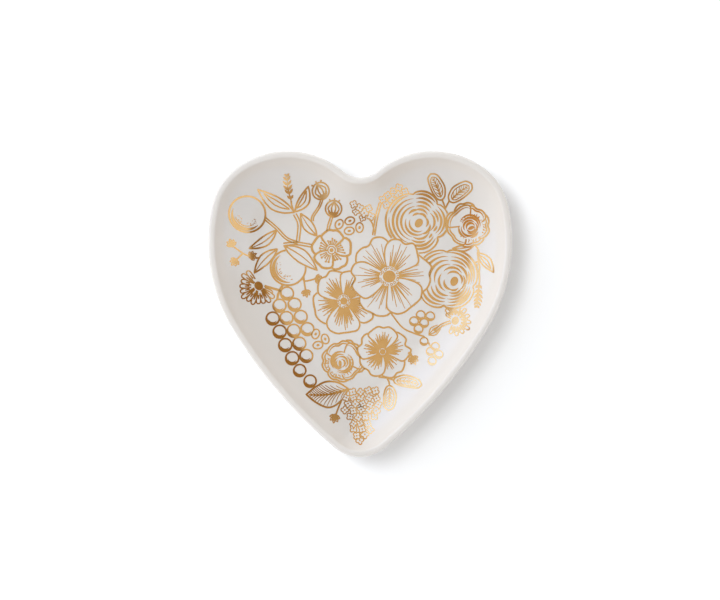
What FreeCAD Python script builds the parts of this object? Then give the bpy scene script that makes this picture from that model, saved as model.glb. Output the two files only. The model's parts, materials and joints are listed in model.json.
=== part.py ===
import FreeCAD, Part
import math
import os
import Sketcher

# Open heart-shaped porcelain ring dish with a gold floral print, in millimetres.
# +Z is up, the tip of the heart points to -Y, and the foot ring rests on z = 0.
# The clay body, the glaze and every island of gold print are separate sub-parts.

doc = FreeCAD.newDocument("HeartDish")
Vector = FreeCAD.Vector

# ---------------------------------------------------------------- driving dimensions

DIMENSIONS = [
    ("cleft_radius", 9.0, "rim outline: hollow arc of the cleft"),
    ("top_radius", 31.0, "rim outline: top of each lobe"),
    ("side_radius", 23.0, "rim outline: shoulder of each lobe"),
    ("upper_radius", 60.0, "rim outline: upper flank"),
    ("lower_radius", 172.0, "rim outline: lower flank"),
    ("tip_radius", 14.0, "rim outline: rounded tip"),
    ("cleft_turn", 80.0, "degrees swept by the cleft arc"),
    ("top_turn", 74.5, "degrees swept by the top arc"),
    ("side_turn", 43.4, "degrees swept by the shoulder arc"),
    ("upper_turn", 43.6, "degrees swept by the upper flank arc"),
    ("cleft_rise", 45.0, "bottom of the cleft above the centre of the dish"),
    ("half_width", 54.0, "half the width of the rim outline"),
    ("narrowing", 0.0006, "how fast the sections also shrink as they step inwards"),
    ("rim_height", 15.2, "top of the rim above the table"),
    ("lip_width", 2.4, "thickness of the rim"),
    ("lip_round", 1.0, "rounding of both edges of the rim"),
    ("wall_depth", 3.0, "thickness of the wall and the floor, glaze included"),
    ("floor_height", 4.6, "top of the floor above the table"),
    ("floor_inset", 21.4, "rim outline to the edge of the flat floor"),
    ("bowl_reach", 20.5, "half width of the ellipse that the wall follows"),
    ("bowl_drop", 17.0, "half height of the ellipse that the wall follows"),
    ("foot_inset", 17.5, "rim outline to the outside of the foot ring"),
    ("foot_width", 2.6, "width of the foot ring"),
    ("foot_recess", 1.6, "underside of the floor above the table"),
    ("foot_root", 3.6, "height to which the foot ring runs into the wall"),
    ("foot_chamfer", 0.4, "bevel ground on the edges of the foot ring"),
    ("glaze_skin", 0.25, "thickness of the glaze"),
    ("glaze_line", 0.8, "height above the table at which the glaze stops"),
    ("gold_film", 0.06, "thickness of the fired gold print"),
]


def petals(count, reach, half_length, half_width, first=90):
    """Ovals set round a flower's centre, each pointing outwards."""
    ovals = []
    for index in range(count):
        turn = first + index * 360 / count
        angle = math.radians(turn)
        ovals.append((reach * math.cos(angle), reach * math.sin(angle), half_length, half_width, turn))
    return ovals


def leaf(x, y, length, width, turn):
    """Oval leaf or stem growing from (x, y) in the direction `turn`."""
    angle = math.radians(turn)
    middle_x = x + math.cos(angle) * length / 2
    middle_y = y + math.sin(angle) * length / 2
    return (middle_x, middle_y, length / 2, width / 2, turn)


def discs(radius, *centres):
    return [(x, y, radius, radius, 0) for x, y in centres]


# Islands of the gold print: centre, size in millimetres, and the ovals that cover the island as
# (x, y, half length, half width, turn in degrees), in units of its size.
MOTIFS = [
    ("orchard_fruit", -40.0, 31.5, 6.0, discs(1, (0, 0)) + [leaf(0.8, -0.3, 1.9, 0.25, -38)]),
    ("leaf_sprig", -26.0, 35.0, 6.0, [
        leaf(0.5, -0.8, 2.2, 0.8, 150), leaf(0.4, -0.7, 2.1, 0.7, 97), leaf(0.3, -0.6, 1.7, 0.65, 62),
        leaf(0.9, -1.9, 1.9, 0.25, 110)]),
    ("poppy_pod", -11.5, 37.0, 3.4, discs(1, (-0.8, 1), (0.6, -0.4)) + [
        leaf(0.6, -0.9, 1.7, 0.35, -95), leaf(-0.9, 0.5, 2.4, 0.3, -115)]),
    ("blossom", 7.5, 37.0, 3.6, petals(5, 0.7, 0.55, 0.5) + [leaf(-0.2, -0.4, 2.6, 0.35, -104)]),
    ("ranunculus", 20.0, 28.5, 9.6, discs(1, (0, 0))),
    ("top_leaf", 31.0, 40.0, 4.6, [
        leaf(-0.1, -0.6, 2, 0.9, 118), leaf(0.1, -0.5, 2, 0.9, 34), leaf(0.05, -0.3, 1.5, 0.3, -85)]),
    ("rose", 39.0, 27.5, 6.4, discs(1, (0, 0))),
    ("side_sprig", 44.5, 11.0, 5.0, [
        leaf(-0.6, 1.4, 1.8, 0.7, -50), leaf(-0.5, 0.8, 1.9, 0.7, -88), leaf(-0.55, 0.9, 3.2, 0.25, -96)]),
    ("peony", 31.0, 8.8, 8.6, discs(1, (0, 0))),
    ("anemone", 10.5, 9.0, 10.6, petals(7, 0.58, 0.42, 0.38) + discs(0.5, (0, 0))),
    ("star_flower", -10.5, 20.5, 6.4, petals(5, 0.6, 0.42, 0.4) + discs(0.4, (0, 0))),
    ("plum", -26.0, 13.5, 5.8, discs(1, (0, 0)) + [leaf(-0.1, 0.8, 1.25, 0.7, 20), leaf(-0.6, 0.5, 1.6, 0.7, 150)]),
    ("daisy", -38.5, 5.5, 6.2, petals(9, 0.64, 0.38, 0.24) + discs(0.42, (0, 0))),
    ("grape", -24.0, -9.5, 2.5, discs(
        1, (-1.4, 3.4), (0.5, 3.6), (-2.1, 1.7), (-0.3, 1.8), (1.5, 1.9), (-1.3, 0), (0.5, 0.1), (2.2, 0.2),
        (-0.5, -1.7), (1.3, -1.6), (0.4, -3.4), (2.1, -3.2), (1.4, -5), (2.2, -6.6))),
    ("pansy", -7.0, 0.0, 8.4, petals(5, 0.56, 0.44, 0.42, 54) + discs(0.4, (0, 0))),
    ("small_rose", -6.5, -20.0, 6.2, discs(1, (0, 0))),
    ("viola", 8.5, -17.0, 7.8, petals(5, 0.56, 0.44, 0.42, 90) + discs(0.4, (0, 0))),
    ("berry_spray", 23.0, -8.5, 2.3, discs(1, (-1, 1.6), (0.5, 2.1), (-0.2, -0.1), (1.5, 0.5))
     + [leaf(0.4, 0, 4.4, 0.4, -68)]),
    ("aster", 35.5, -7.0, 4.8, petals(8, 0.62, 0.38, 0.26) + discs(0.42, (0, 0))),
    ("lilac", 0.5, -39.5, 2.6, discs(
        1, (-2.3, 2.4), (-0.7, 2.7), (0.9, 2.8), (2.4, 2.3), (-1.7, 1), (0, 1.2), (1.7, 0.9), (-1, -0.4),
        (0.7, -0.5), (-0.3, -1.9), (0.5, -3.1))),
    ("broad_leaf", -13.3, -29.4, 7.4, [leaf(0.9, 0.1, 2, 0.9, 196)]),
    ("tail_leaf", 13.5, -29.5, 4.8, [leaf(-0.7, 0.1, 2.3, 0.8, -4), leaf(-0.5, 0.35, 2.2, 0.8, -78)]),
]

dims = doc.addObject("Spreadsheet::Sheet", "Dims")
cells = list(DIMENSIONS)
for motif, x, y, size, _ in MOTIFS:
    cells += [
        (motif + "_across", x, "print: centre of the island, to the right"),
        (motif + "_along", y, "print: centre of the island, towards the cleft"),
        (motif + "_size", size, "print: size of the island"),
    ]
for row, (alias, value, note) in enumerate(cells, start=1):
    dims.set(f"A{row}", alias)
    dims.set(f"B{row}", str(value))
    dims.setAlias(f"B{row}", alias)
    dims.set(f"C{row}", note)
doc.recompute()


def dim(alias):
    return float(getattr(dims, alias))


# ---------------------------------------------------------------- heart sections

ARCS = ("cleft", "top", "side", "upper", "lower", "tip")
BOWL_STATIONS = (36, 48, 60, 71, 80, 90)


def heart_arcs(shrink, offset):
    """Arcs of one heart outline as (centre x, centre y, radius, start, end), in order round it.

    The rim outline is scaled by `shrink` and then drawn in by `offset`, so the arcs keep
    their directions and stay tangent. The cleft arc is hollow, so it grows as the rest shrinks.
    """
    radius = {name: shrink * dim(name + "_radius") - offset for name in ARCS}
    cleft = shrink * dim("cleft_radius") + offset
    cleft_centre = shrink * (dim("cleft_rise") + dim("cleft_radius"))
    heading = math.radians(dim("cleft_turn")) / 2
    down = -math.pi / 2
    first = (0, cleft_centre, cleft, down - heading, down + heading)
    x = cleft * math.sin(heading)
    y = cleft_centre - cleft * math.cos(heading)
    right = []
    for name in ("top", "side", "upper"):
        turn = math.radians(dim(name + "_turn"))
        r = radius[name]
        cx = x + r * math.sin(heading)
        cy = y - r * math.cos(heading)
        start = math.pi / 2 + heading
        right.append((cx, cy, r, start - turn, start))
        x = cx + r * math.cos(start - turn)
        y = cy + r * math.sin(start - turn)
        heading -= turn
    # The lower flank turns until its tip arc is centred on the axis of symmetry.
    r = radius["lower"]
    cx = x + r * math.sin(heading)
    cy = y - r * math.cos(heading)
    to_tip = r - radius["tip"]
    end = -math.acos(-cx / to_tip)
    right.append((cx, cy, r, end, math.pi / 2 + heading))
    last = (0, cy + to_tip * math.sin(end), radius["tip"], -math.pi - end, end)
    left = [(-cx, cy, r, math.pi - stop, math.pi - start)
            for cx, cy, r, start, stop in reversed(right)]
    return [first] + right + [last] + left


def bowl_point(angle, depth):
    """Expressions for the inset and height of a point `depth` below the inside of the bowl.

    The inside follows an ellipse; `angle` is 0 at its rim side and 90 at the flat floor.
    """
    across = f"Dims.bowl_reach * sin({angle}deg)"
    along = f"Dims.bowl_drop * cos({angle}deg)"
    length = f"sqrt(({across})^2 + ({along})^2)"
    inset = f"Dims.floor_inset - Dims.bowl_reach * cos({angle}deg) - ({depth}) * {along} / {length}"
    height = (f"Dims.floor_height + Dims.bowl_drop * (1 - sin({angle}deg))"
              f" - ({depth}) * {across} / {length}")
    return inset, height


STEPPED_IN = "1 - Dims.narrowing * Inset^2"
SCALED_DOWN = "1 - Inset / Dims.half_width"


def add_heart(body, name, inset, height, shrink=STEPPED_IN):
    """Add a fully constrained heart sketch; `inset`, `height` and `shrink` are expressions."""
    sketch = body.newObject("Sketcher::SketchObject", name)
    plane = [f for f in body.Origin.OriginFeatures if f.Role == "XY_Plane"][0]
    sketch.AttachmentSupport = [(plane, "")]
    sketch.MapMode = "FlatFace"
    for prop in ("Inset", "Shrink", "Offset"):
        sketch.addProperty("App::PropertyFloat", prop, "Section")
    sketch.setExpression("Inset", inset)
    sketch.setExpression("Shrink", shrink)
    sketch.setExpression("Offset", "Inset - Dims.half_width * (1 - Shrink)")
    sketch.setExpression("AttachmentOffset.Base.z", height)
    doc.recompute()
    arcs = heart_arcs(sketch.Shrink, sketch.Offset)
    for cx, cy, r, start, end in arcs:
        circle = Part.Circle(Vector(cx, cy, 0), Vector(0, 0, 1), r)
        sketch.addGeometry(Part.ArcOfCircle(circle, start, end), False)
    constraint = Sketcher.Constraint
    count = len(arcs)
    # The hollow cleft arc runs the other way round, so it is joined end to end.
    sketch.addConstraint(constraint("Tangent", 0, 2, 1, 2))
    for index in range(1, count - 1):
        sketch.addConstraint(constraint("Tangent", index, 1, index + 1, 2))
    sketch.addConstraint(constraint("Tangent", count - 1, 1, 0, 1))
    for index in range(1, 5):
        sketch.addConstraint(constraint("Equal", index, count - index))
    for index, arc_name in enumerate(ARCS):
        row = sketch.addConstraint(constraint("Radius", index, arcs[index][2]))
        sketch.renameConstraint(row, arc_name + "_size")
        sign = "+" if arc_name == "cleft" else "-"
        sketch.setExpression(f"Constraints.{arc_name}_size",
                             f"Shrink * Dims.{arc_name}_radius {sign} Offset")
    for index in (0, 1, 2, 3, count - 1, count - 2, count - 3):
        arc_name = ARCS[min(index, count - index)]
        turn = arc_name + "_turn"
        side = "" if index < 4 else "_left"
        row = sketch.addConstraint(constraint("Angle", index, math.radians(dim(turn))))
        sketch.renameConstraint(row, turn + side)
        sketch.setExpression(f"Constraints.{turn}{side}", f"Dims.{turn}")
    sketch.addConstraint(constraint("PointOnObject", 0, 3, -2))
    sketch.addConstraint(constraint("PointOnObject", 5, 3, -2))
    row = sketch.addConstraint(constraint("DistanceY", -1, 1, 0, 3, arcs[0][1]))
    sketch.renameConstraint(row, "cleft_centre")
    sketch.setExpression("Constraints.cleft_centre",
                         "Shrink * (Dims.cleft_rise + Dims.cleft_radius)")
    return sketch


def add_loft(body, kind, name, stations):
    """Loft heart sections through (inset, height) expressions, listed from the rim down."""
    sketches = [add_heart(body, f"{name}_{index}", inset, height)
                for index, (inset, height) in enumerate(stations)]
    loft = body.newObject(kind, name)
    loft.Profile = sketches[0]
    loft.Sections = sketches[1:]
    loft.Ruled = False
    loft.Closed = False
    doc.recompute()
    return loft


def wall_stations(rim_inset, rim_height, depth):
    return [(rim_inset, rim_height)] + [bowl_point(angle, depth) for angle in BOWL_STATIONS]


def hollow_stations(depth):
    """Sections of the hollow, `depth` inside the glazed surface (negative is above it)."""
    return wall_stations(f"Dims.lip_width - ({depth})", f"Dims.rim_height - ({depth})", depth)


# ---------------------------------------------------------------- dish shapes

def edges_at(feature, height):
    """Names of the edges of a feature that lie flat at one height."""
    names = []
    for index, edge in enumerate(feature.Shape.Edges, start=1):
        box = edge.BoundBox
        if abs(box.ZMin - height) < 1e-6 and abs(box.ZMax - height) < 1e-6:
            names.append(f"Edge{index}")
    return names


def make_dish(name, skin):
    """Body of the dish with its whole surface drawn in by the expression `skin`."""
    body = doc.addObject("PartDesign::Body", name)
    wall = f"Dims.wall_depth - ({skin})"
    outside = wall_stations(skin, f"Dims.rim_height - ({skin})", wall)
    add_loft(body, "PartDesign::AdditiveLoft", name + "_outside", outside)

    foot_outline = add_heart(
        body, name + "_foot_outline",
        f"Dims.foot_inset - Dims.glaze_skin + ({skin})", "0", SCALED_DOWN)
    foot = body.newObject("PartDesign::Pad", name + "_foot")
    foot.Profile = foot_outline
    foot.setExpression("Length", "Dims.foot_root")
    recess_outline = add_heart(
        body, name + "_recess_outline",
        f"Dims.foot_inset + Dims.foot_width + Dims.glaze_skin - ({skin})", "0", SCALED_DOWN)
    recess = body.newObject("PartDesign::Pocket", name + "_recess")
    recess.Profile = recess_outline
    recess.Reversed = True
    recess.setExpression("Length", f"Dims.foot_recess + ({skin})")
    doc.recompute()

    hollow = add_loft(body, "PartDesign::SubtractiveLoft", name + "_hollow", hollow_stations(skin))
    rim = body.newObject("PartDesign::Fillet", name + "_rim")
    rim_height = max(vertex.Z for vertex in hollow.Shape.Vertexes)
    rim.Base = (hollow, edges_at(hollow, rim_height))
    rim.setExpression("Radius", f"Dims.lip_round - ({skin})")
    doc.recompute()
    bevel = body.newObject("PartDesign::Chamfer", name + "_foot_bevel")
    bevel.Base = (rim, edges_at(rim, 0))
    bevel.setExpression("Size", "Dims.foot_chamfer")
    doc.recompute()
    return body


def combine(kind, name, base, tool):
    """Boolean of two document objects: a Part::Cut or a Part::Common."""
    result = doc.addObject(kind, name)
    result.Base = base
    result.Tool = tool
    return result


porcelain_body = make_dish("porcelain_body", "Dims.glaze_skin")
glazed_form = make_dish("glazed_form", "0")

# The glaze is what the glazed form adds to the clay, above the line where it is wiped off.
all_glaze = combine("Part::Cut", "all_glaze", glazed_form, porcelain_body)
bare_foot = doc.addObject("Part::Box", "bare_foot")
for side in ("Length", "Width"):
    bare_foot.setExpression(side, "4 * Dims.half_width")
bare_foot.setExpression("Height", "2 * Dims.glaze_line")
bare_foot.setExpression("Placement.Base.x", "-2 * Dims.half_width")
bare_foot.setExpression("Placement.Base.y", "-2 * Dims.half_width")
bare_foot.setExpression("Placement.Base.z", "-Dims.glaze_line")
wiped_glaze = combine("Part::Cut", "wiped_glaze", all_glaze, bare_foot)
inside_foot = doc.addObject("PartDesign::Body", "inside_foot")
inside_outline = add_heart(
    inside_foot, "inside_foot_outline", "Dims.foot_inset + Dims.foot_width / 2", "0", SCALED_DOWN)
inside_pad = inside_foot.newObject("PartDesign::Pad", "inside_foot_pad")
inside_pad.Profile = inside_outline
inside_pad.setExpression("Length", "Dims.foot_root")
glaze_coat = combine("Part::Cut", "glaze_coat", wiped_glaze, inside_foot)
recess_glaze = combine("Part::Common", "recess_glaze", wiped_glaze, inside_foot)
doc.recompute()

# ---------------------------------------------------------------- gold print

def make_cavity(name, depth):
    body = doc.addObject("PartDesign::Body", name)
    add_loft(body, "PartDesign::AdditiveLoft", name + "_loft", hollow_stations(depth))
    return body


def make_oval(name, motif, x, y, half_length, half_width, turn):
    """Upright oval prism, placed in units of the motif's size from the motif's centre."""
    outline = doc.addObject("Part::Ellipse", name + "_outline")
    outline.setExpression("MajorRadius", f"Dims.{motif}_size * {half_length}")
    outline.setExpression("MinorRadius", f"Dims.{motif}_size * {half_width}")
    outline.setExpression("Placement.Base.x", f"Dims.{motif}_across + Dims.{motif}_size * ({x})")
    outline.setExpression("Placement.Base.y", f"Dims.{motif}_along + Dims.{motif}_size * ({y})")
    outline.Placement.Rotation = FreeCAD.Rotation(Vector(0, 0, 1), turn)
    prism = doc.addObject("Part::Extrusion", name)
    prism.Base = outline
    prism.DirMode = "Custom"
    prism.Dir = Vector(0, 0, 1)
    prism.setExpression("LengthFwd", "Dims.rim_height")
    prism.Solid = True
    return prism


print_layer = combine("Part::Cut", "print_layer", make_cavity("glaze_hollow", "0"),
                      make_cavity("film_hollow", "-Dims.gold_film"))
prints = []
for motif, _, _, _, ovals in MOTIFS:
    prisms = [make_oval(f"{motif}_oval_{index}", motif, *oval) for index, oval in enumerate(ovals)]
    patch = prisms[0]
    if len(prisms) > 1:
        patch = doc.addObject("Part::MultiFuse", motif + "_patch")
        patch.Shapes = prisms
    prints.append(combine("Part::Common", motif + "_print", patch, print_layer))
doc.recompute()

# ---------------------------------------------------------------- checks and export

sub_parts = [porcelain_body, glaze_coat, recess_glaze] + prints
broken = [obj.Name for obj in doc.Objects if "Invalid" in obj.State or "Error" in obj.State]
if broken:
    raise RuntimeError("objects in error: " + ", ".join(broken))

os.makedirs("parts", exist_ok=True)
for part in sub_parts:
    part.Label = part.Name
    if part.Shape.isNull() or not part.Shape.isValid():
        raise RuntimeError("bad shape: " + part.Name)
    part.Shape.exportStep(f"parts/{part.Label}.step")
    print(part.Label, len(part.Shape.Solids), "solid,", round(part.Shape.Volume, 3), "cubic mm")
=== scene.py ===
import json
import math
import random

import bpy
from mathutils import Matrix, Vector, geometry, interpolate
from mathutils.bvhtree import BVHTree

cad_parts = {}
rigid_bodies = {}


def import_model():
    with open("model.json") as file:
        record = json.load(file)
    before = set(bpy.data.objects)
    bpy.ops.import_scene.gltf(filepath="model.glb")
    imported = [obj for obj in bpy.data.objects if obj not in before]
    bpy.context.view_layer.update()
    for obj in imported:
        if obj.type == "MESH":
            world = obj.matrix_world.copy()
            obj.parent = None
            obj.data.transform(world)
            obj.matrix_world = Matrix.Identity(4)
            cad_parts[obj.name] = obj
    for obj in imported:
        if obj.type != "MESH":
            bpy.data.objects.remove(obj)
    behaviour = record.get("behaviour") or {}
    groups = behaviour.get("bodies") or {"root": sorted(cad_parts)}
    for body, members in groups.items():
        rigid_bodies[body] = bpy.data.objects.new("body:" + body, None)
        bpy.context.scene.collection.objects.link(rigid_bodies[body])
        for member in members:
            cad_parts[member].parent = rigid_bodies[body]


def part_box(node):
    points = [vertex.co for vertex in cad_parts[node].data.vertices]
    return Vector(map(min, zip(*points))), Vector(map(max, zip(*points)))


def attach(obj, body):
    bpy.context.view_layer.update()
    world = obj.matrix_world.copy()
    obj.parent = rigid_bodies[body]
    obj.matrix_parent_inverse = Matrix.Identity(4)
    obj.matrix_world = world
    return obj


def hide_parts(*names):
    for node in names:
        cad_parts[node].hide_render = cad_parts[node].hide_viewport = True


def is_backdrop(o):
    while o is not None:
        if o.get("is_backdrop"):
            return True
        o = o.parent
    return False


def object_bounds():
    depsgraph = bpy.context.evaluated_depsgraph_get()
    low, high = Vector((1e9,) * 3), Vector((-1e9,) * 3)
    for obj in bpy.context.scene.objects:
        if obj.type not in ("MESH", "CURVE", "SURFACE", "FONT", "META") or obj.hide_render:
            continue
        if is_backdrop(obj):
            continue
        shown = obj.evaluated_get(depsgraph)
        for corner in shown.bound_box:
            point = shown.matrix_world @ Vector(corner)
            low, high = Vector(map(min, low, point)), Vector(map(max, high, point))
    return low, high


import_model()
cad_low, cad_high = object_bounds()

MM = 0.001

# ---------------------------------------------------------------- materials


def node_material(name):
    material = bpy.data.materials.new(name)
    material.use_nodes = True
    tree = material.node_tree
    shader = tree.nodes["Principled BSDF"]
    return material, tree, shader


def noise(tree, scale, detail=3.0):
    """Noise in object coordinates, so that it keeps its size in metres."""
    coordinates = tree.nodes.new("ShaderNodeTexCoord")
    texture = tree.nodes.new("ShaderNodeTexNoise")
    texture.inputs["Scale"].default_value = scale
    texture.inputs["Detail"].default_value = detail
    tree.links.new(coordinates.outputs["Object"], texture.inputs["Vector"])
    return texture.outputs["Fac"]


def ramp(tree, source, *stops):
    """Colour ramp from (position, colour) stops."""
    node = tree.nodes.new("ShaderNodeValToRGB")
    elements = node.color_ramp.elements
    while len(elements) < len(stops):
        elements.new(0.5)
    for element, (position, colour) in zip(elements, stops):
        element.position = position
        element.color = (*colour, 1.0)
    tree.links.new(source, node.inputs["Fac"])
    return node.outputs["Color"]


def bump(tree, shader, source, strength, distance):
    """Fine relief from a texture; the distance is in metres."""
    node = tree.nodes.new("ShaderNodeBump")
    node.inputs["Strength"].default_value = strength
    node.inputs["Distance"].default_value = distance
    tree.links.new(source, node.inputs["Height"])
    tree.links.new(node.outputs["Normal"], shader.inputs["Normal"])


def glaze_material():
    material, tree, shader = node_material("white_glaze")
    colour = ramp(tree, noise(tree, 35.0), (0.3, (0.628, 0.595, 0.561)), (0.7, (0.648, 0.615, 0.581)))
    tree.links.new(colour, shader.inputs["Base Color"])
    shader.inputs["Roughness"].default_value = 0.12
    shader.inputs["IOR"].default_value = 1.52
    bump(tree, shader, noise(tree, 120.0, 2.0), 0.10, 0.0002)
    return material


def bisque_material():
    material, tree, shader = node_material("bare_bisque")
    colour = ramp(tree, noise(tree, 900.0, 4.0), (0.3, (0.74, 0.69, 0.62)), (0.7, (0.84, 0.80, 0.74)))
    tree.links.new(colour, shader.inputs["Base Color"])
    shader.inputs["Roughness"].default_value = 0.85
    bump(tree, shader, noise(tree, 2500.0, 4.0), 0.35, 0.00005)
    return material


def gold_material():
    material, tree, shader = node_material("gold_lustre")
    colour = ramp(tree, noise(tree, 260.0), (0.3, (0.90, 0.515, 0.185)), (0.7, (0.95, 0.575, 0.225)))
    tree.links.new(colour, shader.inputs["Base Color"])
    shader.inputs["Metallic"].default_value = 1.0
    rough = ramp(tree, noise(tree, 700.0, 2.0), (0.3, (0.10, 0.10, 0.10)), (0.7, (0.20, 0.20, 0.20)))
    tree.links.new(rough, shader.inputs["Roughness"])
    bump(tree, shader, noise(tree, 900.0, 3.0), 0.25, 0.00004)
    return material


GLAZE = glaze_material()
BISQUE = bisque_material()
GOLD = gold_material()

for node, material in (("porcelain_body", BISQUE), ("glaze_coat", GLAZE), ("recess_glaze", GLAZE)):
    for material_slot in bpy.data.objects[node].material_slots:
        material_slot.material = material

for film in [item for item in bpy.data.objects if item.name.endswith("_print")]:
    for material_slot in film.material_slots:
        material_slot.material = GOLD

# ---------------------------------------------------------------- drawing in plan, in millimetres

STEP = 0.4            # spacing of the points along a stroke
PITCH = 0.8           # spacing of the points inside a solid shape
FINE = 0.42           # pen widths
LINE = 0.62
BOLD = 0.9
THINNEST = 0.1
masks = []            # silhouettes drawn so far: whatever is drawn later is hidden behind them


class Ink:
    """The gold of one island, gathered as overlapping flat faces before they are fused."""

    def __init__(self, name):
        self.name = name
        self.points = []
        self.faces = []
        self.loose = []       # points inside solid shapes

    def add(self, polygon):
        first = len(self.points)
        self.points += polygon
        self.faces.append(tuple(range(first, first + len(polygon))))


def polar(x, y, radius, degrees):
    """Point at a radius and an angle from (x, y)."""
    angle = math.radians(degrees)
    return (x + radius * math.cos(angle), y + radius * math.sin(angle))


def distance(a, b):
    return math.hypot(b[0] - a[0], b[1] - a[1])


def between(a, b, t):
    """Point at the share t of the way from a to b."""
    return (a[0] + (b[0] - a[0]) * t, a[1] + (b[1] - a[1]) * t)


def place(points, x, y, turn, across=1.0, along=1.0):
    """Local points, +X outwards, scaled and turned into place."""
    c, s = math.cos(math.radians(turn)), math.sin(math.radians(turn))
    return [(x + c * u * along - s * v * across, y + s * u * along + c * v * across) for u, v in points]


def smooth(knots, closed=False):
    """Even curve through a few knots."""
    count = len(knots)
    spans = count if closed else count - 1
    curve = []
    for i in range(spans):
        if closed:
            p0, p1, p2, p3 = (knots[(i + k) % count] for k in (-1, 0, 1, 2))
        else:
            p1, p2 = knots[i], knots[i + 1]
            p0 = knots[i - 1] if i > 0 else p1
            p3 = knots[i + 2] if i + 2 < count else p2
        steps = max(2, math.ceil(distance(p1, p2) / STEP))
        for k in range(steps):
            t = k / steps
            curve.append(tuple(
                0.5 * (2 * b + (c - a) * t + (2 * a - 5 * b + 4 * c - d) * t * t
                       + (3 * b - a - 3 * c + d) * t ** 3)
                for a, b, c, d in zip(p0, p1, p2, p3)))
    if not closed:
        curve.append(knots[-1])
    return curve


def arc(x, y, radius, start, end, squash=1.0, turn=0.0):
    """Points along an arc of an oval, angles in degrees."""
    count = max(4, math.ceil(abs(math.radians(end - start)) * radius / STEP))
    local = [polar(0, 0, radius, start + (end - start) * k / count) for k in range(count + 1)]
    return place(local, x, y, turn, squash)


def oval(x, y, radius, squash=1.0, turn=0.0):
    return arc(x, y, radius, 0, 360, squash, turn)[:-1]


def inside(polygon, x, y):
    """Whether a line from the point to the right crosses the polygon an odd number of times."""
    hit = False
    x1, y1 = polygon[-1]
    for x2, y2 in polygon:
        if (y1 > y) != (y2 > y) and x < (x2 - x1) * (y - y1) / (y2 - y1) + x1:
            hit = not hit
        x1, y1 = x2, y2
    return hit


def hidden(x, y):
    """Whether a silhouette drawn earlier covers the point."""
    for low_x, low_y, high_x, high_y, polygon in masks:
        if low_x < x < high_x and low_y < y < high_y and inside(polygon, x, y):
            return True
    return False


def mask(polygon):
    """Hide what is drawn later behind this silhouette, which is kept with its box."""
    xs, ys = zip(*polygon)
    masks.append((min(xs), min(ys), max(xs), max(ys), polygon))


def pen(t):
    """Pen pressure: fine at both ends."""
    return 0.4 + 0.6 * math.sin(math.pi * t) ** 0.7


def root(t):
    """Heavy at the start, running out fine."""
    return 1.0 - 0.55 * t


def crescent(t):
    """Swelling from almost nothing and back."""
    return 0.12 + 0.88 * math.sin(math.pi * t)


def even(t):
    """The same all along."""
    return 1.0


def stroke(ink, points, width, press=pen, closed=False):
    """Line of gold along points, left out where a mask hides it."""
    if closed:
        points = points + points[:1]
    last = len(points) - 1
    rails = []
    for i, (x, y) in enumerate(points):
        if hidden(x, y):
            rails.append(None)
            continue
        if closed and i in (0, last):
            before, after = points[-2], points[1]
        else:
            before, after = points[max(i - 1, 0)], points[min(i + 1, last)]
        length = distance(before, after) or 1.0
        across = ((before[1] - after[1]) / length, (after[0] - before[0]) / length)
        half = max(THINNEST, width * press(i / last)) / 2
        rails.append(((x + across[0] * half, y + across[1] * half),
                      (x - across[0] * half, y - across[1] * half)))
    for one, two in zip(rails, rails[1:]):
        if one and two:
            ink.add([one[0], one[1], two[1], two[0]])


def fill(ink, polygon):
    """Solid gold shape, with inner points so that it can follow the bowl."""
    area = sum(a[0] * b[1] - a[1] * b[0] for a, b in zip(polygon, polygon[1:] + polygon[:1]))
    ink.add(polygon if area > 0 else polygon[::-1])
    xs, ys = zip(*polygon)
    for i in range(math.ceil((max(xs) - min(xs)) / PITCH)):
        for j in range(math.ceil((max(ys) - min(ys)) / PITCH)):
            x, y = min(xs) + (i + 0.5) * PITCH, min(ys) + (j + 0.5) * PITCH
            if inside(polygon, x, y):
                ink.loose.append((x, y))


def dot(ink, x, y, radius):
    """Small solid octagon."""
    if not hidden(x, y):
        ink.add([polar(x, y, radius, k * 45) for k in range(8)])


def outline(ink, polygon, width):
    """Closed line round a shape, which then hides what is drawn later."""
    stroke(ink, polygon, width, even, closed=True)
    mask(polygon)


# ---------------------------------------------------------------- motifs

def ring(ink, x, y, radius, width, squash=1.0, turn=0.0):
    outline(ink, oval(x, y, radius, squash, turn), width)


def seed_head(ink, x, y, radius, turn):
    """Cut seed head: an oval with a solid eye."""
    fill(ink, oval(x, y, radius * 0.36, 0.72, turn))
    ring(ink, x, y, radius, LINE * 0.9, 0.76, turn)


def berry(ink, x, y, radius):
    """Round berry: an outline with a crescent of shade at its lower left."""
    stroke(ink, arc(x, y, radius * 0.66, 190, 330), FINE * 1.3, crescent)
    stroke(ink, arc(x, y, radius * 0.87, 165, 335), BOLD * radius / 2.2, crescent)
    ring(ink, x, y, radius, LINE * min(1.0, radius / 1.7))


def leaf_shape(base, tip, width, bend=0.0, blunt=False):
    """Outline of a leaf and its midrib."""
    length = distance(base, tip)
    turn = math.degrees(math.atan2(tip[1] - base[1], tip[0] - base[0]))
    sides = ((0.1, 0.3), (0.42, 0.5), (0.86, 0.38)) if blunt else ((0.22, 0.36), (0.5, 0.5), (0.78, 0.3))
    left = [(0, 0), *sides, (1, 0)]
    right = [(u, -v) for u, v in reversed(sides)]
    bow = [(u, v * width / length + bend * math.sin(math.pi * u)) for u, v in left + right]
    rib = [(u, bend * math.sin(math.pi * u)) for u in (0, 0.2, 0.4, 0.6, 0.8, 0.94)]
    shape = (smooth(place(bow[:5], *base, turn, length, length))[:-1]
             + smooth(place([bow[4]] + bow[5:] + [bow[0]], *base, turn, length, length))[:-1])
    return shape, smooth(place(rib, *base, turn, length, length))


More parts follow.
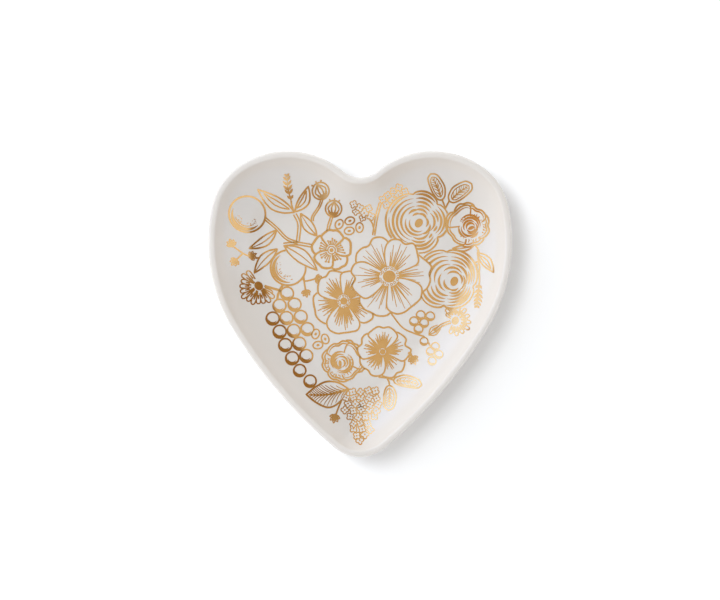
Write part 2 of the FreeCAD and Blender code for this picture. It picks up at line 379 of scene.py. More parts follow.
def veins(ink, shape, rib, width, count, slant, pen_width):
    """Side veins from the midrib, leaning towards the tip and kept inside the leaf."""
    for k in range(1, count + 1):
        t = k / (count + 1)
        i = min(int(t * (len(rib) - 1)), len(rib) - 2)
        along = math.degrees(math.atan2(rib[i + 1][1] - rib[i][1], rib[i + 1][0] - rib[i][0]))
        reach = width * 0.46 * math.sin(math.pi * (0.14 + 0.84 * t))
        for side in (1, -1):
            end = polar(*rib[i], reach / math.sin(math.radians(slant)), along + side * slant)
            middle = between(between(rib[i], end, 0.5), polar(*rib[i], reach, along), 0.15)
            path = [p for p in smooth([rib[i], middle, end]) if inside(shape, *p)]
            if len(path) > 2:
                stroke(ink, path, pen_width, root)


def leaf(ink, base, tip, width, bend=0.0, style="open"):
    """Leaf drawn as an open outline, slit, veined, framed by a double line or as a feathered blade."""
    shape, rib = leaf_shape(base, tip, width, bend, style == "framed")
    length = distance(base, tip)
    if style == "open":
        stroke(ink, rib, LINE, root)
        outline(ink, shape, LINE)
    elif style == "slit":
        inner, _ = leaf_shape(between(base, tip, 0.14), between(base, tip, 0.84), width * 0.34, bend)
        stroke(ink, inner, LINE * 0.85, even, closed=True)
        outline(ink, shape, LINE * 1.05)
    elif style == "veined":
        stroke(ink, rib, BOLD, root)
        veins(ink, shape, rib, width, max(4, int(length / 1.3)), 42, FINE * 1.1)
        outline(ink, shape, LINE * 1.1)
    elif style == "framed":
        start, end = between(base, tip, 0.12), between(base, tip, 0.88)
        inner, inner_rib = leaf_shape(start, end, width * 0.66, bend, True)
        stroke(ink, inner_rib, LINE, root)
        veins(ink, inner, inner_rib, width * 0.7, max(3, int(length / 1.5)), 40, FINE)
        stroke(ink, inner, FINE, even, closed=True)
        outline(ink, shape, LINE)
    else:
        turn = math.degrees(math.atan2(tip[1] - base[1], tip[0] - base[0]))
        count = max(4, int(length / 1.5))
        for k in range(count):
            t = (k + 0.5) / count
            here = rib[int(t * (len(rib) - 1))]
            reach = 0.5 + width * 0.7 * math.sin(math.pi * (0.16 + 0.76 * t))
            for side in (1, -1):
                barb, _ = leaf_shape(here, polar(*here, reach, turn + side * 40), 0.95)
                fill(ink, barb)
        stroke(ink, rib, LINE, root)
        mask(shape)


def stem(ink, *knots, width=LINE):
    stroke(ink, smooth(list(knots)), width, even)


def twin_stem(ink, gap, *knots):
    """Stem drawn as two lines with a light between them."""
    path = smooth(list(knots))
    for side in (gap / 2, -gap / 2):
        rail = []
        for i, point in enumerate(path):
            a, b = path[max(i - 1, 0)], path[min(i + 1, len(path) - 1)]
            length = distance(a, b) or 1.0
            rail.append((point[0] - (b[1] - a[1]) / length * side,
                         point[1] + (b[0] - a[0]) / length * side))
        stroke(ink, rail, LINE * 0.9, even)


def petal_shape(rng, x, y, length, width, turn, notch):
    """Outline of one broad petal with a gently waved edge; `notch` is the depth of the waves."""
    wave = [rng.uniform(-notch, notch) for _ in range(7)]
    knots = [(0.06, 0.05), (0.34, 0.30 + wave[0]), (0.64, 0.47 + wave[1]), (0.87, 0.38),
             (0.98 + wave[2], 0.18), (0.95 + wave[3], 0.0), (1.0 + wave[4], -0.2), (0.86, -0.40),
             (0.62, -0.47 + wave[5]), (0.32, -0.30 + wave[6]), (0.06, -0.05)]
    return smooth(place(knots, x, y, turn, width, length))


def rays(ink, rng, x, y, turn, spread, count, start, near, far, width):
    """Fan of strokes from a flower's heart over one petal, long and short by turns."""
    for k in range(count):
        t = (k + 0.5) / count * 2 - 1
        angle = turn + spread * t + rng.uniform(-1.2, 1.2)
        share = rng.uniform(0.55, 1.0) if k % 2 else rng.uniform(0.0, 0.45)
        reach = (near + (far - near) * share) * (1 - 0.22 * t * t)
        bow = rng.uniform(-3, 3)
        points = [polar(x, y, start + (reach - start) * s, angle + bow * s) for s in (0, 0.35, 0.7, 1.0)]
        stroke(ink, smooth(points), width, root)


def open_flower(ink, seed, x, y, petals, order, length, width, first, start, ray_count, ray_reach,
                spread, ray_width, pen_width, notch):
    """Flower seen from the front.

    `order` lists its petals from the front one back, and `first` is the direction of petal 0. The rays
    begin at the radius `start`, end roughly between the two of `ray_reach` and fan out by `spread`.
    """
    rng = random.Random(seed)
    for k in order:
        turn = first + k * 360 / petals
        size = rng.uniform(0.94, 1.06)
        near, far = (reach * size for reach in ray_reach)
        rays(ink, rng, x, y, turn, spread, ray_count, start, near, far, ray_width)
        shape = petal_shape(rng, x, y, length * size, width * size, turn, notch)
        stroke(ink, shape, pen_width, pen)
        mask(shape)


def anther_ring(ink, rng, x, y, radius, count, size):
    """Uneven ring of tiny circles round a flower's heart."""
    for k in range(count):
        px, py = polar(x, y, radius * rng.uniform(0.92, 1.1), k * 360 / count + rng.uniform(-5, 5))
        stroke(ink, oval(px, py, size), FINE * 0.7, even, closed=True)
        mask(oval(px, py, size))


def nested(ink, rng, x, y, heart, radius, rings, sectors, weight):
    """Nested petals seen edge on: in each sector, crescents spaced from the heart out to the radius.

    A sector is its start, its end and how far its crescents bulge. The inner two crescents are turned
    aside, so that the sectors lock, and one in five of the outer ones is broken by a gap.
    """
    turned, broken, gap = 2, 0.2, 0.9
    for start, end, bulge in sectors:
        for k in range(rings):
            t = (k + 1) / rings
            size = radius * (0.2 + 0.8 * t)
            ox, oy = between(heart, (x, y), t)
            first = start + rng.uniform(-0.02, 0.07) * (end - start)
            last = end - rng.uniform(-0.02, 0.07) * (end - start)
            if k < turned:
                turn = rng.uniform(30, 80)
                first, last = first + turn, last + turn
            steps = max(5, int(math.radians(last - first) * size / STEP))
            points = [polar(ox, oy, size * (1 + bulge * (math.sin(math.pi * s / steps) - 0.5)),
                            first + (last - first) * s / steps) for s in range(steps + 1)]
            if k > turned and rng.random() < broken:
                cut = int(len(points) * rng.uniform(0.3, 0.7))
                stroke(ink, points[:cut], weight, crescent)
                stroke(ink, points[cut + int(gap / STEP):], weight, crescent)
            else:
                stroke(ink, points, weight * rng.uniform(0.9, 1.15), crescent)


def rosette(ink, seed, x, y, radius, core_x, core_y, sectors):
    """Many-petalled flower seen from above: nested petals round a solid heart."""
    rng = random.Random(seed)
    heart = (x + core_x, y + core_y)
    valley = 0.95         # radius of the edge between two petals, by that of the flower
    steps = 18
    fill(ink, oval(*heart, radius * 0.17, 0.78, rng.uniform(50, 80)))
    nested(ink, rng, x, y, heart, radius * valley, 6, sectors, 0.88)
    edge = []
    for start, end, bulge in sectors:
        swell = 1.04 + bulge - valley
        edge += [polar(x, y, radius * (valley + swell * math.sin(math.pi * s / steps) ** 0.6),
                       start + (end - start) * s / steps) for s in range(steps + 1)]
    stroke(ink, edge, LINE * 1.15, lambda t: 0.8 + 0.3 * math.sin(9 * t) ** 2, closed=True)
    mask(edge)


def rose(ink, seed, x, y, radius, turn):
    """Half-open garden rose: a tightly folded heart in a cup of broad rolled petals."""
    rng = random.Random(seed)
    heart = polar(x, y, radius * 0.2, turn)
    fill(ink, oval(*heart, radius * 0.17, 0.5, turn + 60))
    folds = ((turn + 20, turn + 200, 0.10), (turn + 205, turn + 375, 0.12))
    nested(ink, rng, *polar(x, y, radius * 0.08, turn), heart, radius * 0.54, 4, folds, radius * 0.115)
    mask(oval(*heart, radius * 0.56))
    # rolled petals from the front one back: direction, then length, width and reach of the shade by radius
    cup = ((172, 0.95, 1.5, 0.72), (100, 0.96, 1.3, 0.78), (-108, 1.0, 1.35, 0.7), (36, 1.04, 1.25, 0.8),
           (-36, 1.06, 1.3, 0.86), (140, 1.12, 1.1, 0.9), (-155, 1.12, 1.1, 0.92))
    for lean, reach, wide, shade in cup:
        angle = turn + lean
        far = radius * shade
        shape = petal_shape(rng, x, y, radius * reach, radius * wide, angle, 0.03)
        rays(ink, rng, *heart, angle, 34, 10, radius * 0.5, far * 0.74, far, FINE * 1.2)
        cut = len(shape) // 4
        inner = [between((x, y), p, 0.88) for p in shape[cut:-cut]]
        stroke(ink, inner, LINE, crescent)
        stroke(ink, shape, LINE * 1.1, pen)
        mask(shape)


def fruit(ink, seed, x, y, radius, shade):
    """Round fruit: a crescent of shade on the side `shade`, with stippling beside it."""
    rng = random.Random(seed)
    stroke(ink, arc(x, y, radius * 0.83, shade - 78, shade + 78), 1.35 * radius / 6, crescent)
    stroke(ink, arc(x, y, radius * 0.66, shade - 42, shade + 56), FINE, pen)
    for _ in range(34):
        angle = shade + rng.uniform(-56, 90)
        dot(ink, *polar(x, y, radius * rng.uniform(0.40, 0.70), angle), rng.uniform(0.13, 0.22))
    outline(ink, oval(x, y, radius), LINE * 1.15)


def pod(ink, x, y, radius, turn):
    """Seed pod with ribs, solid at its stalk, and a small crown."""
    for k in (-1.6, -0.6, 0.6, 1.6):
        bow = [polar(x, y, radius * 0.92, turn + 180), polar(x, y, radius * 0.42 * k, turn + 90),
               polar(x, y, radius * 0.86, turn)]
        stroke(ink, smooth(bow), 0.6 * radius / 3, even)
    stroke(ink, arc(x, y, radius * 0.68, turn + 108, turn + 252), radius * 0.5, crescent)
    for side in (-24, 0, 24):
        foot, tip = polar(x, y, radius * 0.9, turn + side), polar(x, y, radius * 1.3, turn + side * 1.3)
        stroke(ink, smooth([foot, tip]), LINE, even)
    ring(ink, x, y, radius, LINE)


def daisy(ink, seed, x, y, reach, heart, start, end, count):
    """Daisy turned aside: two rows of looped petals over part of a circle, round a solid heart."""
    rng = random.Random(seed)
    fill(ink, oval(x, y, heart, 0.85, start))
    mask(oval(x, y, heart))
    for row_reach, offset in ((reach, 0), (reach * 0.76, 0.5)):
        for k in range(count):
            angle = start + (end - start) * (k + offset) / (count - 1)
            long = row_reach * rng.uniform(0.9, 1.06)
            stroke(ink, [polar(x, y, long * r, angle) for r in (0.25, 0.5, 0.74)], BOLD, root)
            shape = place(petal_loop(), x, y, angle, reach * 0.24, long)
            stroke(ink, shape, LINE * 0.8, even, closed=True)
            mask(shape)


def petal_loop():
    """Blunt petal of a daisy, one long and about one wide."""
    return smooth([(0.25, 0.1), (0.6, 0.42), (0.92, 0.42), (1.0, 0.0),
                   (0.92, -0.42), (0.6, -0.42), (0.25, -0.1)], closed=True)


def floret(ink, x, y, radius, turn, petals=4):
    """Tiny blossom: a lobed outline round a dot."""
    dot(ink, x, y, radius * 0.24)
    edge = [polar(x, y, radius * (0.62 + 0.42 * abs(math.sin(math.radians(petals * a / 2)))), turn + a)
            for a in range(0, 360, 15)]
    outline(ink, edge, FINE)


def bud_star(ink, x, y, radius, turn):
    """Small open bud: a fan of pointed petals, solid at the foot, on a cup."""
    fill(ink, oval(x, y, radius * 0.3, 0.8, turn))
    for lean in (-70, -35, 0, 35, 70):
        tip = polar(x, y, radius * (1.0 - abs(lean) / 260), turn + lean)
        shape, _ = leaf_shape((x, y), tip, radius * 0.4)
        stroke(ink, [(x, y), between((x, y), tip, 0.7)], LINE, even)
        stroke(ink, shape, FINE, even, closed=True)
        mask(shape)


# ---------------------------------------------------------------- the bouquet, drawn from the front back
#
# Each function draws one island of the print. It is given the centre of the island's box in plan, and
# places its motifs by their offsets from there, in millimetres.


def draw_star_flower(ink, x, y):
    cx, cy = x + 0.3, y - 1.6
    rng = random.Random(3)
    dot(ink, cx, cy, 0.75)
    stroke(ink, oval(cx, cy, 1.35), FINE, even, closed=True)
    mask(oval(cx, cy, 1.5))
    for k in range(5):
        turn = 86 + 72 * k
        for j in range(5):
            lean = turn + (j - 2) * 13
            reach = rng.uniform(2.8, 4.6)
            stroke(ink, [polar(cx, cy, r, lean) for r in (1.9, (1.9 + reach) / 2, reach)], FINE, even)
            dot(ink, *polar(cx, cy, reach + 0.25, lean), rng.uniform(0.34, 0.46))
    for k in (0, 2, 4, 1, 3):
        shape = petal_shape(rng, cx, cy, 7.0, 7.6, 86 + 72 * k, 0.06)
        stroke(ink, shape, BOLD, pen)
        mask(shape)


def draw_anemone(ink, x, y):
    cx, cy = x, y + 0.5
    rng = random.Random(11)
    fill(ink, oval(cx, cy, 2.3, 0.95))
    mask(oval(cx, cy, 2.45))
    anther_ring(ink, rng, cx, cy, 3.1, 15, 0.42)
    open_flower(ink, 12, cx, cy, petals=6, order=(4, 0, 2, 5, 1, 3), length=14.4, width=14.0, first=64,
                start=3.6, ray_count=9, ray_reach=(9.6, 13.6), spread=27, ray_width=0.5, pen_width=0.7,
                notch=0.07)


def draw_ranunculus(ink, x, y):
    sectors = ((98, 248, 0.04), (250, 322, 0.10), (324, 398, 0.10), (40, 96, 0.04))
    rosette(ink, 21, x + 0.2, y + 1.2, 10.2, 0.9, -0.7, sectors)


def draw_peony(ink, x, y):
    sectors = ((92, 194, 0.06), (196, 262, 0.08), (264, 342, 0.06), (-16, 90, 0.07))
    rosette(ink, 34, x + 0.2, y + 0.2, 10.2, 2.6, -0.9, sectors)


def draw_rose(ink, x, y):
    rose(ink, 41, x - 0.3, y + 0.6, 7.2, -38)
    leaf(ink, (x + 2.0, y - 6.4), (x - 5.8, y - 7.6), 2.2, 0.06)
    stem(ink, (x + 2.0, y - 6.0), (x + 3.4, y - 8.4), (x + 3.6, y - 10.5))


def draw_pansy(ink, x, y):
    cx, cy = x + 1.2, y + 1.5
    rng = random.Random(51)
    fill(ink, oval(cx, cy, 1.3))
    anther_ring(ink, rng, cx, cy, 2.1, 11, 0.4)
    open_flower(ink, 52, cx, cy, petals=5, order=(3, 0, 1, 4, 2), length=11.2, width=12.4, first=54,
                start=2.4, ray_count=15, ray_reach=(7.0, 10.0), spread=33, ray_width=0.66, pen_width=0.7,
                notch=0.06)


def draw_viola(ink, x, y):
    cx, cy = x - 0.4, y - 0.6
    fill(ink, oval(cx, cy, 1.0))
    open_flower(ink, 63, cx, cy, petals=5, order=(0, 4, 1, 2, 3), length=8.9, width=10.2, first=88,
                start=1.2, ray_count=14, ray_reach=(5.2, 7.6), spread=33, ray_width=0.66, pen_width=0.68,
                notch=0.06)


def draw_small_rose(ink, x, y):
    rose(ink, 74, x + 0.5, y - 0.6, 7.0, 215)
    for dx, dy, turn in ((-9.4, 9.2, 70), (-6.0, 7.4, 110), (-8.6, 5.2, 10)):
        seed_head(ink, x + dx, y + dy, 1.75, turn)


def draw_grape(ink, x, y):
    bunch = ((-5.0, 12.6), (0.4, 13.0), (-7.4, 8.0), (-2.5, 8.2), (2.6, 8.6),
             (-4.9, 3.3), (0.1, 3.6), (5.0, 4.2), (-2.9, -1.5), (2.1, -1.0),
             (-0.4, -6.2), (4.6, -5.4), (2.3, -10.6), (6.0, -14.4), (-2.3, 17.0))
    stem(ink, (x - 3.6, y + 20.5), (x - 5.4, y + 17.0), (x - 5.8, y + 14.6), width=BOLD)
    for dx, dy in bunch:
        berry(ink, x + dx, y + dy, 2.3 if dy > -8 else 2.15)


def draw_plum(ink, x, y):
    leaf(ink, (x + 1.4, y + 6.2), (x + 13.3, y - 2.6), 4.6, 0.05, "open")
    fruit(ink, 81, x + 2.9, y - 1.7, 6.3, 200)
    leaf(ink, (x - 1.0, y + 5.0), (x - 9.2, y - 3.6), 3.8, -0.06, "open")
    twin_stem(ink, 0.9, (x + 1.2, y + 6.6), (x + 6.0, y + 7.0), (x + 12.0, y + 6.0))
    for dx, dy, turn in ((9.2, -10.0, -80), (13.0, -5.6, -10)):
        stem(ink, (x + 8.4, y - 3.4), (x + 8.6, y - 6.4), (x + dx, y + dy))
        bud_star(ink, x + dx, y + dy, 2.4, turn)


def draw_orchard_fruit(ink, x, y):
    cx, cy = x - 4.2, y + 2.0
    fruit(ink, 91, cx, cy, 6.4, 236)
    twin_stem(ink, 0.8, (cx + 6.2, cy - 1.4), (cx + 10.2, cy - 4.8), (cx + 14.0, cy - 8.6),
              (cx + 18.0, cy - 10.2))
    leaf(ink, (x + 6.2, y - 3.6), (x - 3.6, y - 10.2), 3.4, 0.08, "open")
    for dx, dy, turn in ((-9.6, -9.2, 110), (-8.2, -14.4, 230), (-3.2, -13.2, 30)):
        stem(ink, (x - 5.8, y - 12.0), (x + dx, y + dy))
        bud_star(ink, x + dx, y + dy, 2.5, turn)
    stem(ink, (x - 3.0, y - 13.4), (x - 0.6, y - 13.6), (x + 1.2, y - 12.6))


def draw_leaf_sprig(ink, x, y):
    leaf(ink, (x + 3.2, y - 0.6), (x - 9.8, y + 7.4), 4.8, 0.06, "slit")
    leaf(ink, (x + 3.4, y - 0.4), (x + 8.2, y + 8.6), 3.8, -0.10, "slit")
    leaf(ink, (x + 2.0, y + 3.6), (x + 0.7, y + 13.6), 3.0, 0.05, "feathered")
    stem(ink, (x + 3.0, y - 0.4), (x + 2.2, y + 2.0), (x + 2.0, y + 4.4))
    leaf(ink, (x + 11.2, y - 9.0), (x + 5.4, y - 1.0), 3.6, 0.04, "open")
    twin_stem(ink, 1.0, (x + 3.3, y - 1.2), (x + 4.9, y - 5.0), (x + 4.4, y - 11.0))


def draw_poppy_pod(ink, x, y):
    pod(ink, x - 2.0, y + 4.4, 3.0, 118)
    pod(ink, x + 2.6, y - 1.9, 2.9, 84)
    twin_stem(ink, 0.7, (x - 1.6, y + 1.4), (x - 2.6, y - 1.2), (x - 4.8, y - 4.6), (x - 5.0, y - 6.4))
    twin_stem(ink, 0.8, (x + 1.9, y - 4.8), (x + 0.9, y - 8.0), (x + 0.4, y - 10.4))
    for dx, dy, turn in ((4.6, -7.4, 60), (8.4, -6.2, 20), (11.9, -8.6, 88), (8.2, -9.8, 8)):
        seed_head(ink, x + dx, y + dy, 1.75, turn)


def draw_blossom(ink, x, y):
    rng = random.Random(111)
    right_spray = ((6.4, 7.6, 1.1), (8.6, 6.2, 1.1), (4.4, 6.4, 1.0), (6.2, 5.0, 1.2), (2.4, 4.8, 1.1),
                   (4.0, 3.2, 1.3), (0.6, 3.4, 1.1), (2.0, 1.6, 1.2), (5.8, 2.6, 1.1))
    left_spray = ((-9.8, 1.6, 1.1), (-7.6, 0.4, 1.2), (-9.0, -1.0, 1.0), (-6.0, -1.4, 1.3),
                  (-4.4, 0.2, 1.1), (-6.6, -3.2, 1.0), (-3.6, -2.6, 1.2))
    for dx, dy, radius in right_spray + left_spray:
        floret(ink, x + dx, y + dy, radius * 1.2, rng.uniform(0, 90))
    twin_stem(ink, 0.8, (x - 0.2, y + 2.2), (x - 1.6, y - 3.0), (x - 2.6, y - 9.4))
    stem(ink, (x - 4.4, y - 3.2), (x - 3.0, y - 5.4), (x - 2.4, y - 8.4))


def draw_top_leaf(ink, x, y):
    leaf(ink, (x - 3.0, y - 1.4), (x - 7.2, y + 7.8), 4.8, -0.04, "framed")
    leaf(ink, (x - 0.4, y - 1.8), (x + 7.4, y + 4.2), 5.2, 0.05, "framed")
    stem(ink, (x - 3.0, y - 1.2), (x - 1.9, y - 4.6), (x - 2.4, y - 9.0), (x - 3.9, y - 13.6))
    stem(ink, (x - 0.4, y - 1.6), (x - 1.8, y - 4.4))


def draw_side_sprig(ink, x, y):
    leaf(ink, (x - 1.7, y + 9.4), (x + 3.8, y + 2.4), 3.4, 0.05, "slit")
    leaf(ink, (x - 1.4, y + 6.4), (x - 4.2, y - 1.8), 3.8, -0.05, "slit")
    stem(ink, (x - 1.6, y + 11.4), (x - 1.4, y + 6.0), (x - 1.0, y - 0.6), (x - 2.2, y - 8.0))
    leaf(ink, (x - 1.2, y - 1.4), (x - 2.2, y - 10.4), 2.8, 0.03, "feathered")


def draw_aster(ink, x, y):
    daisy(ink, 121, x - 1.4, y + 1.0, 5.4, 1.5, -112, 128, 10)
    twin_stem(ink, 0.8, (x - 3.0, y + 0.6), (x - 6.4, y - 0.8), (x - 8.6, y - 3.0))


def draw_daisy(ink, x, y):
    daisy(ink, 131, x + 2.2, y + 0.8, 7.0, 1.7, 128, 322, 12)
    stem(ink, (x + 4.2, y + 0.8), (x + 7.6, y - 0.2), (x + 10.4, y - 1.0), width=BOLD)


def draw_berry_spray(ink, x, y):
    for dx, dy in ((-4.2, 3.4), (-1.8, 5.6), (1.6, 5.2), (-0.6, 2.8), (-2.6, 0.6)):
        berry(ink, x + dx, y + dy, 1.55)
    bud = (x + 1.0, y - 1.6)
    for lean in (-20, -7, 7, 20):
        side = smooth([bud, polar(*bud, 2.6, 38 + lean * 1.7), polar(*bud, 5.0, 38 + lean * 0.5)])
        stroke(ink, side, 0.5, pen)
    mask(leaf_shape((x + 0.6, y - 2.0), polar(x + 0.6, y - 2.0, 5.8, 38), 3.4)[0])
    for dx, dy in ((-0.6, -3.8), (3.4, -5.6), (1.6, -7.4), (4.6, -8.4), (2.2, -10.8)):
        berry(ink, x + dx, y + dy, 1.4)
    stem(ink, (x - 13.6, y + 8.0), (x - 8.6, y + 1.4), (x - 4.0, y - 1.0), (x - 0.4, y - 2.4),
         (x + 2.0, y - 6.4), (x + 2.8, y - 10.4))
    stem(ink, (x - 2.8, y - 1.4), (x - 0.8, y + 1.2), (x - 0.2, y + 3.4))


def draw_lilac(ink, x, y):
    rng = random.Random(141)
    spacing = 2.75
    # rows from the top down: height, number of florets, shift to the right
    rows = ((8.6, 4, 0.8), (6.3, 5, -0.2), (4.0, 5, 0.5), (1.8, 5, -0.3), (-0.5, 4, 0.1), (-2.7, 3, -0.5),
            (-4.9, 3, 0.1), (-7.0, 2, -0.6), (-8.9, 1, -0.5))
    for dy, count, shift in rows:
        for k in range(count):
            dx = (k - (count - 1) / 2) * spacing + shift
            floret(ink, x + dx + rng.uniform(-0.3, 0.3), y + dy + rng.uniform(-0.3, 0.3),
                   rng.uniform(1.25, 1.5), rng.uniform(0, 90))


def draw_broad_leaf(ink, x, y):
    leaf(ink, (x + 9.6, y + 0.2), (x - 5.4, y - 1.6), 9.2, 0.07, "veined")
    stem(ink, (x + 7.0, y - 4.2), (x + 5.8, y - 7.0), (x + 5.0, y - 9.4))
    bud_star(ink, x + 4.9, y - 9.2, 2.7, -104)


def draw_tail_leaf(ink, x, y):
    leaf(ink, (x - 3.6, y + 5.4), (x + 6.4, y + 3.9), 4.0, 0.05, "framed")
    leaf(ink, (x - 5.0, y + 3.6), (x - 5.4, y - 5.2), 4.4, 0.04, "framed")
    stem(ink, (x - 9.0, y + 6.6), (x - 5.8, y + 6.2), (x - 3.4, y + 5.4))
    stem(ink, (x - 5.8, y + 6.0), (x - 5.2, y + 4.8), (x - 5.0, y + 3.4))
    stem(ink, (x + 0.6, y + 17.8), (x + 2.4, y + 15.6), (x + 3.0, y + 14.0))
    bud_star(ink, x + 3.2, y + 13.6, 2.8, -66)
    bud_star(ink, x + 2.0, y + 15.2, 1.8, -130)


BOUQUET = (
    ("star_flower_print", draw_star_flower),
    ("anemone_print", draw_anemone),
    ("rose_print", draw_rose),
    ("ranunculus_print", draw_ranunculus),
    ("peony_print", draw_peony),
    ("viola_print", draw_viola),
    ("small_rose_print", draw_small_rose),
    ("pansy_print", draw_pansy),
    ("plum_print", draw_plum),
    ("grape_print", draw_grape),
    ("daisy_print", draw_daisy),
    ("orchard_fruit_print", draw_orchard_fruit),
    ("leaf_sprig_print", draw_leaf_sprig),
    ("poppy_pod_print", draw_poppy_pod),
    ("blossom_print", draw_blossom),
    ("top_leaf_print", draw_top_leaf),
    ("side_sprig_print", draw_side_sprig),
    ("aster_print", draw_aster),
    ("berry_spray_print", draw_berry_spray),
    ("lilac_print", draw_lilac),
    ("broad_leaf_print", draw_broad_leaf),
    ("tail_leaf_print", draw_tail_leaf),
)

# ---------------------------------------------------------------- fusing the ink and laying it on the glaze

FILM_ABOVE = 0.04 * MM
FILM_BELOW = 0.03 * MM
WELL_ABOVE = 1.0          # height from which the surface is looked for
FUSE_WITHIN = 0.0005      # points of the plan nearer than this become one, in millimetres
KEEP_TRIANGLES_INSIDE = 1


class Bowl:
    """Finds the glazed surface under a point of the plan, with its smooth normal."""

    def __init__(self, node):
        mesh = bpy.data.objects[node].data
        self.mesh = mesh
        self.corners = [tuple(loop.vector) for loop in mesh.corner_normals]
        self.tree = BVHTree.FromPolygons([v.co for v in mesh.vertices], [p.vertices for p in mesh.polygons])

    def under(self, x, y):
        spot, _, face, _ = self.tree.ray_cast(Vector((x, y, WELL_ABOVE)), Vector((0.0, 0.0, -1.0)))
        polygon = self.mesh.polygons[face]
        triangle = [self.mesh.vertices[v].co for v in polygon.vertices]
        weights = interpolate.poly_3d_calc(triangle, spot)
        normal = Vector()
        for weight, corner in zip(weights, polygon.loop_indices):
            normal += weight * Vector(self.corners[corner])
        return spot, normal.normalized()


def lay(ink, bowl):
    """Fuse the flat faces of the ink into one outline and lay it on the glaze as a closed film."""
    flat = [Vector(p) for p in ink.points + ink.loose]
    points, _, triangles, _, _, sources = geometry.delaunay_2d_cdt(
        flat, [], ink.faces, KEEP_TRIANGLES_INSIDE, FUSE_WITHIN)
    triangles = [t for t, source in zip(triangles, sources) if source]
    used = sorted({v for t in triangles for v in t})
    index = {v: i for i, v in enumerate(used)}
    count = len(used)
    tops, bottoms, normals = [], [], []
    for v in used:
        spot, normal = bowl.under(points[v].x * MM, points[v].y * MM)
        tops.append(spot + normal * FILM_ABOVE)
        bottoms.append(spot - normal * FILM_BELOW)
        normals.append(normal)
    faces, loop_normals = [], []
    edges = set()
    for t in triangles:
        a, b, c = (index[v] for v in t)
        faces.append((a, b, c))
        loop_normals += [normals[a], normals[b], normals[c]]
        edges.update(((a, b), (b, c), (c, a)))
        faces.append((c + count, b + count, a + count))
        loop_normals += [-normals[c], -normals[b], -normals[a]]
    for a, b in edges:
        if (b, a) not in edges:
            faces.append((b, a, a + count, b + count))
            side = (tops[b] - tops[a]).cross(normals[a]).normalized()
            loop_normals += [side] * 4
    mesh = bpy.data.meshes.new(ink.name)
    mesh.from_pydata(tops + bottoms, [], faces)
    for polygon in mesh.polygons:
        polygon.use_smooth = True
    mesh.normals_split_custom_set(loop_normals)
    mesh.materials.append(GOLD)
    piece = bpy.data.objects.new(ink.name, mesh)
    bpy.context.scene.collection.objects.link(piece)
    return piece


bowl = Bowl("glaze_coat")
for node, draw in BOUQUET:
    low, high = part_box(node)
    ink = Ink("gold_" + node.removesuffix("_print"))
    draw(ink, (low.x + high.x) / 2 / MM, (low.y + high.y) / 2 / MM)
    piece = lay(ink, bowl)
    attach(piece, "root")
    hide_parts(node)

# ---------------------------------------------------------------- stage, light and camera

FRAME_WIDTH = 0.2549      # width of the picture at the height of the rim
CAMERA_ABOVE_RIM = 0.80
VIEW_CENTRE_Y = 0.0014
SENSOR = 36.0             # millimetres
FLOOR_REACH = 3.0
LIGHT_DISTANCE = 1.7


def add_mesh(name, points, faces, material):
    mesh = bpy.data.meshes.new(name)
    mesh.from_pydata(points, [], faces)
    mesh.materials.append(material)
    item = bpy.data.objects.new(name, mesh)
    bpy.context.scene.collection.objects.link(item)
    return item


def floor_material():
    material, _, shader = node_material("pale_paper")
    shader.inputs["Base Color"].default_value = (0.94, 0.94, 0.94, 1.0)
    shader.inputs["Roughness"].default_value = 0.9
    return material


corners = [(x * FLOOR_REACH, y * FLOOR_REACH, 0) for x, y in ((-1, -1), (1, -1), (1, 1), (-1, 1))]
floor = add_mesh("floor", corners, [(0, 1, 2, 3)], floor_material())
floor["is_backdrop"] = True


def add_area_light(name, azimuth, elevation, size, power, colour):
    """Square soft light aimed at the dish, left out of its gloss. Azimuth 0 is +X, 90 is +Y, in degrees."""
    light = bpy.data.lights.new(name, "AREA")
    light.shape = "SQUARE"
    light.size = size
    light.energy = power
    light.color = colour
    item = bpy.data.objects.new(name, light)
    bpy.context.scene.collection.objects.link(item)
    a, e = math.radians(azimuth), math.radians(elevation)
    direction = Vector((math.cos(a) * math.cos(e), math.sin(a) * math.cos(e), math.sin(e)))
    item.location = direction * LIGHT_DISTANCE
    item.rotation_euler = (-direction).to_track_quat("-Z", "Y").to_euler()
    item.visible_camera = False
    item.visible_glossy = False


add_area_light("key", 150, 68, 0.6, 9.5, (0.97, 1.0, 1.03))
add_area_light("second", 140, 55, 0.5, 4.9, (0.97, 1.0, 1.03))
add_area_light("window", 152, 30, 1.3, 6.4, (0.88, 1.0, 1.18))
add_area_light("side", 250, 40, 1.3, 1.3, (1.0, 1.0, 1.0))

FILL_HIGH = (0.29, 0.29, 0.29)          # soft light on matt surfaces from above, and from near the table
FILL_LOW = (1.81, 1.79, 1.77)
FILL_EDGES = (0.45, 0.55)               # sines of the elevations between which the one fades into the other
BACKDROP = (0.97, 0.97, 0.97)
BACKDROP_FOOT = (0.70, 0.705, 0.71)     # as pale as the far floor that it meets
BACKDROP_RISE = 0.09                    # sine of the elevation at which the backdrop is at its palest
OVERHEAD = (0.64, 0.635, 0.63)          # what gloss mirrors where no panel is in the way
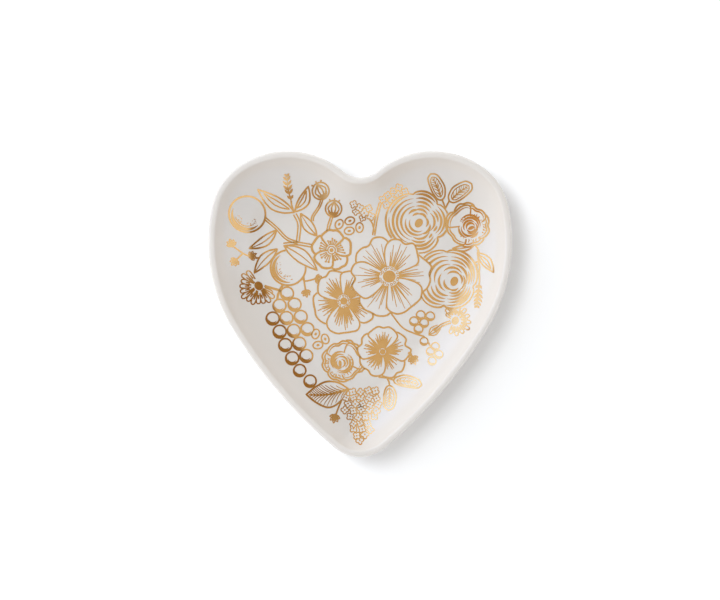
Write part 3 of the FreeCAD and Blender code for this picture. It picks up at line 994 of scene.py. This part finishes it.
# panels, each over the ones before: centre azimuth, half width, lowest and highest elevation and blur
# in degrees, colour
PANELS = (
    (321, 51, -10, 60, 3, (0.84, 0.94, 1.18)),     # pale front
    (250, 24, -10, 48, 4, (0.60, 0.66, 0.86)),
    (252, 14, 30, 50, 3, (0.42, 0.40, 0.42)),
    (230, 52, 50, 76, 4, (0.44, 0.38, 0.32)),      # warm corner
    (190, 14, 37, 74, 4, (0.52, 0.36, 0.18)),
    (146, 38, -5, 58, 4, (0.92, 1.14, 1.75)),      # softbox and its brighter middle
    (132, 14, 12, 40, 5, (1.00, 1.38, 2.40)),
    (349, 26, 60, 83, 3, (0.31, 0.24, 0.14)),      # dark side of the room
    (51, 9, 4, 64, 4, (0.45, 0.43, 0.41)),
    (29, 16, -10, 75, 3, (0.29, 0.20, 0.09)),
    (95, 16, 70, 79, 1, (0.03, 0.02, 0.02)),       # small black flag, nearly overhead
)


def studio_world():
    """Pale fill on matt surfaces, the panels of the studio in the gloss, and a plain backdrop behind."""
    studio = bpy.data.worlds.new("studio")
    studio.use_nodes = True
    tree = studio.node_tree
    nodes, links = tree.nodes, tree.links
    coordinates = nodes.new("ShaderNodeTexCoord")
    parts = nodes.new("ShaderNodeSeparateXYZ")
    links.new(coordinates.outputs["Generated"], parts.inputs["Vector"])
    flat = nodes.new("ShaderNodeVectorMath")
    flat.operation = "MULTIPLY"
    flat.inputs[1].default_value = (1.0, 1.0, 0.0)
    heading = nodes.new("ShaderNodeVectorMath")
    heading.operation = "NORMALIZE"
    links.new(coordinates.outputs["Generated"], flat.inputs[0])
    links.new(flat.outputs["Vector"], heading.inputs[0])

    def rise(value, start, end):
        """From 0 at the start to 1 at the end, whichever of them is larger."""
        step = nodes.new("ShaderNodeMapRange")
        step.interpolation_type = "SMOOTHSTEP"
        step.inputs["From Min"].default_value = start
        step.inputs["From Max"].default_value = end
        links.new(value, step.inputs["Value"])
        return step.outputs["Result"]

    def product(first, second):
        multiply = nodes.new("ShaderNodeMath")
        multiply.operation = "MULTIPLY"
        links.new(first, multiply.inputs[0])
        links.new(second, multiply.inputs[1])
        return multiply.outputs["Value"]

    def blend(factor, under, over):
        mix = nodes.new("ShaderNodeMix")
        mix.data_type = "RGBA"
        links.new(factor, mix.inputs["Factor"])
        for name, colour in (("A", under), ("B", over)):
            if isinstance(colour, bpy.types.NodeSocket):
                links.new(colour, mix.inputs[name])
            else:
                mix.inputs[name].default_value = (*colour[:3], 1.0)
        return mix.outputs["Result"]

    def sine(degrees):
        return math.sin(math.radians(degrees))

    def cosine(degrees):
        return math.cos(math.radians(degrees))

    height = parts.outputs["Z"]
    mirrored = OVERHEAD
    for azimuth, half_width, low, high, blur, colour in PANELS:
        towards = nodes.new("ShaderNodeVectorMath")
        towards.operation = "DOT_PRODUCT"
        towards.inputs[1].default_value = (cosine(azimuth), sine(azimuth), 0.0)
        links.new(heading.outputs["Vector"], towards.inputs[0])
        side = rise(towards.outputs["Value"], cosine(half_width + blur), cosine(half_width - blur))
        above = rise(height, sine(low - blur), sine(low + blur))
        below = rise(height, sine(high + blur), sine(high - blur))
        mirrored = blend(product(side, product(above, below)), mirrored, colour)

    ray = nodes.new("ShaderNodeLightPath")
    soft = blend(rise(height, *FILL_EDGES), FILL_LOW, FILL_HIGH)
    shown = blend(ray.outputs["Is Glossy Ray"], soft, mirrored)
    backdrop = blend(rise(height, 0.0, BACKDROP_RISE), BACKDROP_FOOT, BACKDROP)
    shown = blend(ray.outputs["Is Camera Ray"], shown, backdrop)
    links.new(shown, nodes["Background"].inputs["Color"])
    return studio


bpy.context.scene.world = studio_world()

camera_data = bpy.data.cameras.new("overhead")
camera_data.sensor_width = SENSOR
camera_data.lens = SENSOR * CAMERA_ABOVE_RIM / FRAME_WIDTH
camera = bpy.data.objects.new("overhead", camera_data)
bpy.context.scene.collection.objects.link(camera)
camera.location = (0.0, VIEW_CENTRE_Y, cad_high.z + CAMERA_ABOVE_RIM)
bpy.context.scene.camera = camera
bpy.context.scene.view_settings.view_transform = "Standard"

low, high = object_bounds()
